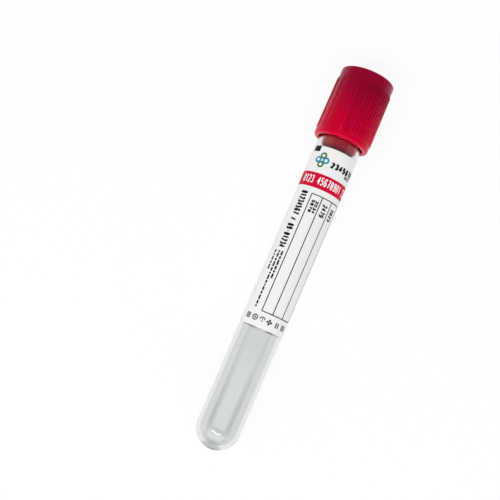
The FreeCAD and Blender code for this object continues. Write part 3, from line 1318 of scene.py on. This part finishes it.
    def build(self, lie: Lie) -> bpy.types.Object:
        """Makes and dresses the cap.

        The radius is the profile's, plus the ribs' lift where a rib's mask is one. Each rib's crest is a
        flat plane, so its radius is divided by the cosine of the angle from the rib's middle. The attribute of
        painted shade in the grooves is one between the ribs, and nought on them and on the panels.

        Args:
            lie: Where the tube lies.

        Returns:
            The cap.
        """
        wall, height = self.profile().T
        outside = wall > (self.chamber_radius + self.band_radius) / 2
        lift = np.where(outside, self.rib_lift(height), 0.0)
        angles = self.angles()
        middles, half = self.ribs()
        away = (angles[:, None] - middles + FULL_TURN / 2) % FULL_TURN - FULL_TURN / 2
        masks = smooth_step((half - np.abs(away)) / self.edge_angle)
        nearest = masks.argmax(axis=1)
        rows = np.arange(len(angles))
        mask = masks[rows, nearest][:, None]
        flat = 1.0 / np.cos(np.radians(away[rows, nearest]))[:, None] - 1.0
        crest = (wall + lift) * flat * np.clip(lift / self.full_crest, 0.0, 1.0)
        places = lie.places(wall + mask * (lift + crest), np.radians(angles)[:, None], height)
        quads = grid_quads(len(angles), len(wall), rows_close=True, columns_close=True)
        piece = make_piece("ribbed_cap", [Surface(places, quads)], [CapPlastic().material()])
        # Painted shade in the recesses between the ribs, kept off the panels and the smooth band.
        from_panel = (angles - self.panel_middle + FULL_TURN / 4) % (FULL_TURN / 2) - FULL_TURN / 4
        between = np.where(np.abs(from_panel)[:, None] > self.panel_angle / 2, 1.0 - mask, 0.0)
        groove_shade = between * np.clip(lift / self.full_groove_shade, 0.0, 1.0)
        values = piece.data.attributes.new(GROOVE_SHADE, "FLOAT", "POINT").data
        values.foreach_set("value", groove_shade.astype(np.float32).ravel())
        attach(piece, "cap")
        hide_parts("cap")
        return piece


@dataclass(frozen=True)
class RubberStopper:
    """The stopper: a head in the cap's chamber, a waisted plug in the tube, a dish above and a recess below.

    Sizes in mm.
    """

    tube: ClearTube
    cap: RibbedCap
    foot: float = 90.0
    clearance: float = 0.05
    foot_round: float = 1.7
    waist_depth: float = 0.3
    waist_low: float = 93.0
    waist_high: float = 97.5
    waist_slope: float = 0.6
    head_round: float = 0.4
    dish_radius: float = 3.3
    dish_depth: float = 0.8
    septum: float = 7.0
    recess_radius: float = 3.0
    soft: float = 0.12
    around: int = 160
    foot_rows: int = 6
    slope_rows: int = 7

    def plug_radius(self, height: Array) -> Array:
        """Radius of the plug: the bore's less the clearance, drawn in at the waist.

        Args:
            height: Heights.

        Returns:
            The radius at each height.
        """
        up = smooth_step((height - self.waist_low) / self.waist_slope)
        down = smooth_step((self.waist_high - height) / self.waist_slope)
        return self.tube.inner(height) - self.clearance - self.waist_depth * up * down

    def profile(self) -> Array:
        """Half profile: recess, rounded foot, waisted plug, head and dish.

        Returns:
            Rows of (radius, height).
        """
        head, soft = self.cap.chamber_radius - self.clearance, self.soft
        top, ledge = self.cap.well_floor, self.cap.chamber_foot
        dish, recess = top - self.dish_depth, top - self.dish_depth - self.septum
        heights = np.concatenate([
            np.linspace(self.foot + self.foot_round, self.waist_low, self.foot_rows)[1:-1],
            np.linspace(self.waist_low, self.waist_low + self.waist_slope, self.slope_rows),
            np.linspace(self.waist_high - self.waist_slope, self.waist_high, self.slope_rows),
            [ledge],
        ])
        hole, rim = self.recess_radius, self.dish_radius
        return np.concatenate([
            [(0.0, recess), (hole * 0.5, recess), (hole - soft, recess), (hole, recess - soft)],
            [(hole, self.foot + soft), (hole + soft, self.foot)],
            round_corner((float(self.plug_radius(np.array(self.foot))), self.foot), self.foot_round, -90.0, 12),
            np.stack([self.plug_radius(heights), heights], axis=1),
            [(head, ledge)],
            round_corner((head, top), self.head_round, 0.0),
            [(rim + soft, top), (rim, top - soft), (rim, dish + soft)],
            [(rim - soft, dish), (rim * 0.5, dish), (0.0, dish)],
        ])

    def build(self, lie: Lie) -> bpy.types.Object:
        """Makes and dresses the stopper.

        Args:
            lie: Where the tube lies.

        Returns:
            The stopper.
        """
        shape = lie.turned(self.profile(), self.around)
        piece = make_piece("rubber_stopper", [shape], [StopperRubber().material()])
        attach(piece, "cap")
        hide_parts("stopper")
        return piece


# ---------------------------------------------------------------- the studio


@dataclass(frozen=True)
class TableTop:
    """White table top. It shows as white, and keeps a share of the shadow that falls on it."""

    white: Colour = (0.93, 0.93, 0.93)
    shadow_share: float = 0.1

    def material(self) -> bpy.types.Material:
        """Makes the material: plain white, mixed with a white glow in what the camera sees.

        Returns:
            The new material.
        """
        material = bpy.data.materials.new("table_top")
        graph = Graph(material)
        seen = graph.ray("Is Camera Ray").highest(graph.ray("Is Glossy Ray"))
        seen = seen.highest(graph.ray("Is Transmission Ray"))
        plain = graph.node("BsdfDiffuse", {}, {"Color": self.white}).outputs["BSDF"]
        glow = graph.node("Emission", {}, {"Color": PURE_WHITE, "Strength": 1.0}).outputs["Emission"]
        values = {"Fac": seen * (1.0 - self.shadow_share), "Shader": plain, "Shader_001": glow}
        graph.node("OutputMaterial", {}, {"Surface": graph.node("MixShader", {}, values).outputs["Shader"]})
        return material


@dataclass(frozen=True)
class StripLamp:
    """A long soft lamp.

    Attributes:
        name: The lamp's name.
        place: Where it stands, in metres.
        aim: The place it faces, in metres.
        size: Its width and height, in metres.
        watts: Its power.
        roll: Its turn about the line to its aim, in degrees.
    """

    name: str
    place: Vector
    aim: Vector
    size: Span
    watts: float
    roll: float

    def build(self) -> None:
        """Makes the lamp. It shines along its own -Z, so that axis is laid from its place to its aim."""
        data = bpy.data.lights.new(self.name, "AREA")
        data.shape = "RECTANGLE"
        data.size, data.size_y = self.size
        data.energy = self.watts
        lamp = bpy.data.objects.new(self.name, data)
        back = np.array(self.place) - np.array(self.aim)
        back /= np.linalg.norm(back)
        right = np.cross((0.0, 1.0, 0.0), back)
        right /= np.linalg.norm(right)
        turn = np.stack([right, np.cross(back, right), back], axis=1)
        spin = Matrix.Rotation(math.radians(self.roll), 4, "Z")
        lamp.matrix_world = Matrix.Translation(self.place) @ Matrix(turn.tolist()).to_4x4() @ spin
        bpy.context.scene.collection.objects.link(lamp)


@dataclass(frozen=True)
class SoftBox:
    """A soft-edged rectangle of light in the sky, on a plane one unit up.

    Attributes:
        half_width: Where its sides are, as x / z.
        reach: Where its near and far edges are, as y / z.
        edge: Half the width of its soft edges.
        level: Its brightness above the room's.
    """

    half_width: float
    reach: Span
    edge: float
    level: float

    def light(self, aside: Wire, along: Wire) -> Wire:
        """Its brightness.

        Args:
            aside: The view's |x| / z.
            along: The view's y / z.

        Returns:
            The brightness that it adds.
        """
        near, far = self.reach
        across = aside.eased((self.half_width + self.edge, self.half_width - self.edge))
        inside = along.eased((near - self.edge, near + self.edge))
        inside = inside * along.eased((far + self.edge, far - self.edge))
        return across * inside * self.level


@dataclass(frozen=True)
class SideLight:
    """Soft light low at both sides of the room.

    Attributes:
        top: Where it starts and is full, as z.
        far: Where it starts and is full towards the cap's end, as y / |x|.
        near: The same towards the round end.
        left: Its brightness above the room's on the left.
        right: The same on the right.
        change: Where it is the right's, and where it is the left's, as x.
    """

    top: Span = (0.47, 0.41)
    far: Span = (0.2, 0.1)
    near: Span = (-0.9, -0.6)
    left: float = 1.4
    right: float = 1.0
    change: Span = (0.1, -0.1)

    def light(self, x: Wire, z: Wire, turn: Wire) -> Wire:
        """The brightness that it adds where the view is x and z, and turn is its y / |x|."""
        side = x.eased(self.change) * (self.left - self.right) + self.right
        return z.eased(self.top) * turn.eased(self.far) * turn.eased(self.near) * side


def turn_matrix(axis: int, angle: float) -> Array:
    """Matrix of a turn about an axis, with the turn's cosine and sine in the plane of the other two.

    Args:
        axis: 0 for X, 1 for Y and 2 for Z.
        angle: The turn, in degrees.

    Returns:
        Three rows of three.
    """
    first, second = (axis + 1) % 3, (axis + 2) % 3
    cos, sin = math.cos(math.radians(angle)), math.sin(math.radians(angle))
    matrix = np.eye(3)
    matrix[first, first], matrix[first, second] = cos, -sin
    matrix[second, first], matrix[second, second] = sin, cos
    return matrix


@dataclass(frozen=True)
class Studio:
    """White table, a dim room with soft boxes overhead and light at both sides, a strip lamp, and the camera.

    Places are in metres, and the tilts in degrees. The low view is where a ray through the clear plastic
    starts to see white, and where it sees nothing else, as z. The flattest is the least |x| and z that
    the room's light is divided by.
    """

    camera_place: Vector = (0.001293, -0.035792, 0.249895)
    view_right: Vector = (0.9182, 0.3961, 0.0)
    pitch: float = -8.404
    yaw: float = 0.353
    lens: float = 62.96
    near_clip: float = 0.01
    table_half: float = 3.0
    table_drop: float = 0.00005
    table_lines: int = 9
    room_level: float = 0.24
    boxes: tuple[SoftBox, ...] = (
        SoftBox(half_width=1.25, reach=(-0.15, 0.07), edge=0.03, level=0.95),
        SoftBox(half_width=0.7, reach=(-0.15, -0.03), edge=0.03, level=0.4),
        SoftBox(half_width=1.3, reach=(-2.0, -0.7), edge=0.1, level=2.4),
    )
    sides: SideLight = SideLight()
    low_view: Span = (0.75, 0.6)
    flattest: float = 0.02
    lamp: StripLamp = StripLamp(
        name="strip_lamp",
        place=(-0.03, -0.365, 0.62),
        aim=(0.0, -0.05, 0.006),
        size=(0.7, 0.03),
        watts=2.65,
        roll=-4.0,
    )

    def world(self) -> None:
        """The room's light: a dim level, the soft boxes and the light at both sides.

        The camera sees white instead, and so does a low ray through the clear plastic.
        """
        world = bpy.data.worlds.new("soft_light")
        bpy.context.scene.world = world
        graph = Graph(world)
        x, y, z = graph.parts(graph.node("TexCoord").outputs["Generated"])
        aside, above = x.highest(0.0 - x), z.highest(self.flattest)
        level = self.sides.light(x, z, y / aside.highest(self.flattest))
        for box in self.boxes:
            level = level + box.light(aside / above, y / above)
        low = graph.ray("Is Transmission Ray") * z.eased(self.low_view)
        seen = low.highest(graph.ray("Is Camera Ray"))
        values = {"Color": PURE_WHITE, "Strength": seen + (1.0 - seen) * (level + self.room_level)}
        light = graph.node("Background", {}, values)
        graph.node("OutputWorld", {}, {"Surface": light.outputs["Background"]})

    def table(self) -> None:
        """The table top, a flat square under the object."""
        lines = self.table_lines
        side = np.linspace(-self.table_half, self.table_half, lines)
        x, y = np.meshgrid(side, side)
        points = np.stack([x, y, np.full_like(x, -self.table_drop)], axis=-1).reshape(-1, 3)
        quads = grid_quads(lines, lines)[:, ::-1]
        top = make_piece("table_top", [Surface(points, quads)], [TableTop().material()])

    def camera(self) -> None:
        """The camera over the table, turned so that the tube lies aslant."""
        right = np.array(self.view_right) / np.linalg.norm(self.view_right)
        level = np.stack([right, np.cross((0.0, 0.0, 1.0), right), (0.0, 0.0, 1.0)])
        pitch, yaw = turn_matrix(0, self.pitch), turn_matrix(1, self.yaw)
        data = bpy.data.cameras.new("camera")
        data.lens = self.lens
        data.clip_start = self.near_clip
        camera = bpy.data.objects.new("camera", data)
        turn = (pitch @ yaw @ level).T
        camera.matrix_world = Matrix.Translation(self.camera_place) @ Matrix(turn.tolist()).to_4x4()
        bpy.context.scene.collection.objects.link(camera)
        bpy.context.scene.camera = camera

    def build(self) -> None:
        """Makes the whole studio."""
        bpy.context.scene.view_settings.view_transform = "Standard"
        self.world()
        self.table()
        self.lamp.build()
        self.camera()


def report(piece: bpy.types.Object) -> None:
    """Logs a piece's name, size and number of triangles.

    Args:
        piece: The piece.
    """
    piece.data.calc_loop_triangles()
    sides = " x ".join(f"{side / MM:.2f}" for side in piece.dimensions)
    LOG.info("%s: %s mm, %d triangles", piece.name, sides, len(piece.data.loop_triangles))


def main() -> None:
    """Builds the object's pieces, then the studio, and reports each."""
    logging.basicConfig(level=logging.INFO, format="%(name)s: %(message)s")
    tube = ClearTube()
    cap = RibbedCap()
    lie = Lie.from_frame(frame["record"], cap.well_floor)
    wrap = Wrap(tube)
    report(tube.build(lie))
    report(wrap.build(lie))
    report(LabelPrint(wrap, lie).build())
    report(cap.build(lie))
    report(RubberStopper(tube, cap).build(lie))
    Studio().build()


if __name__ == "__main__":
    main()
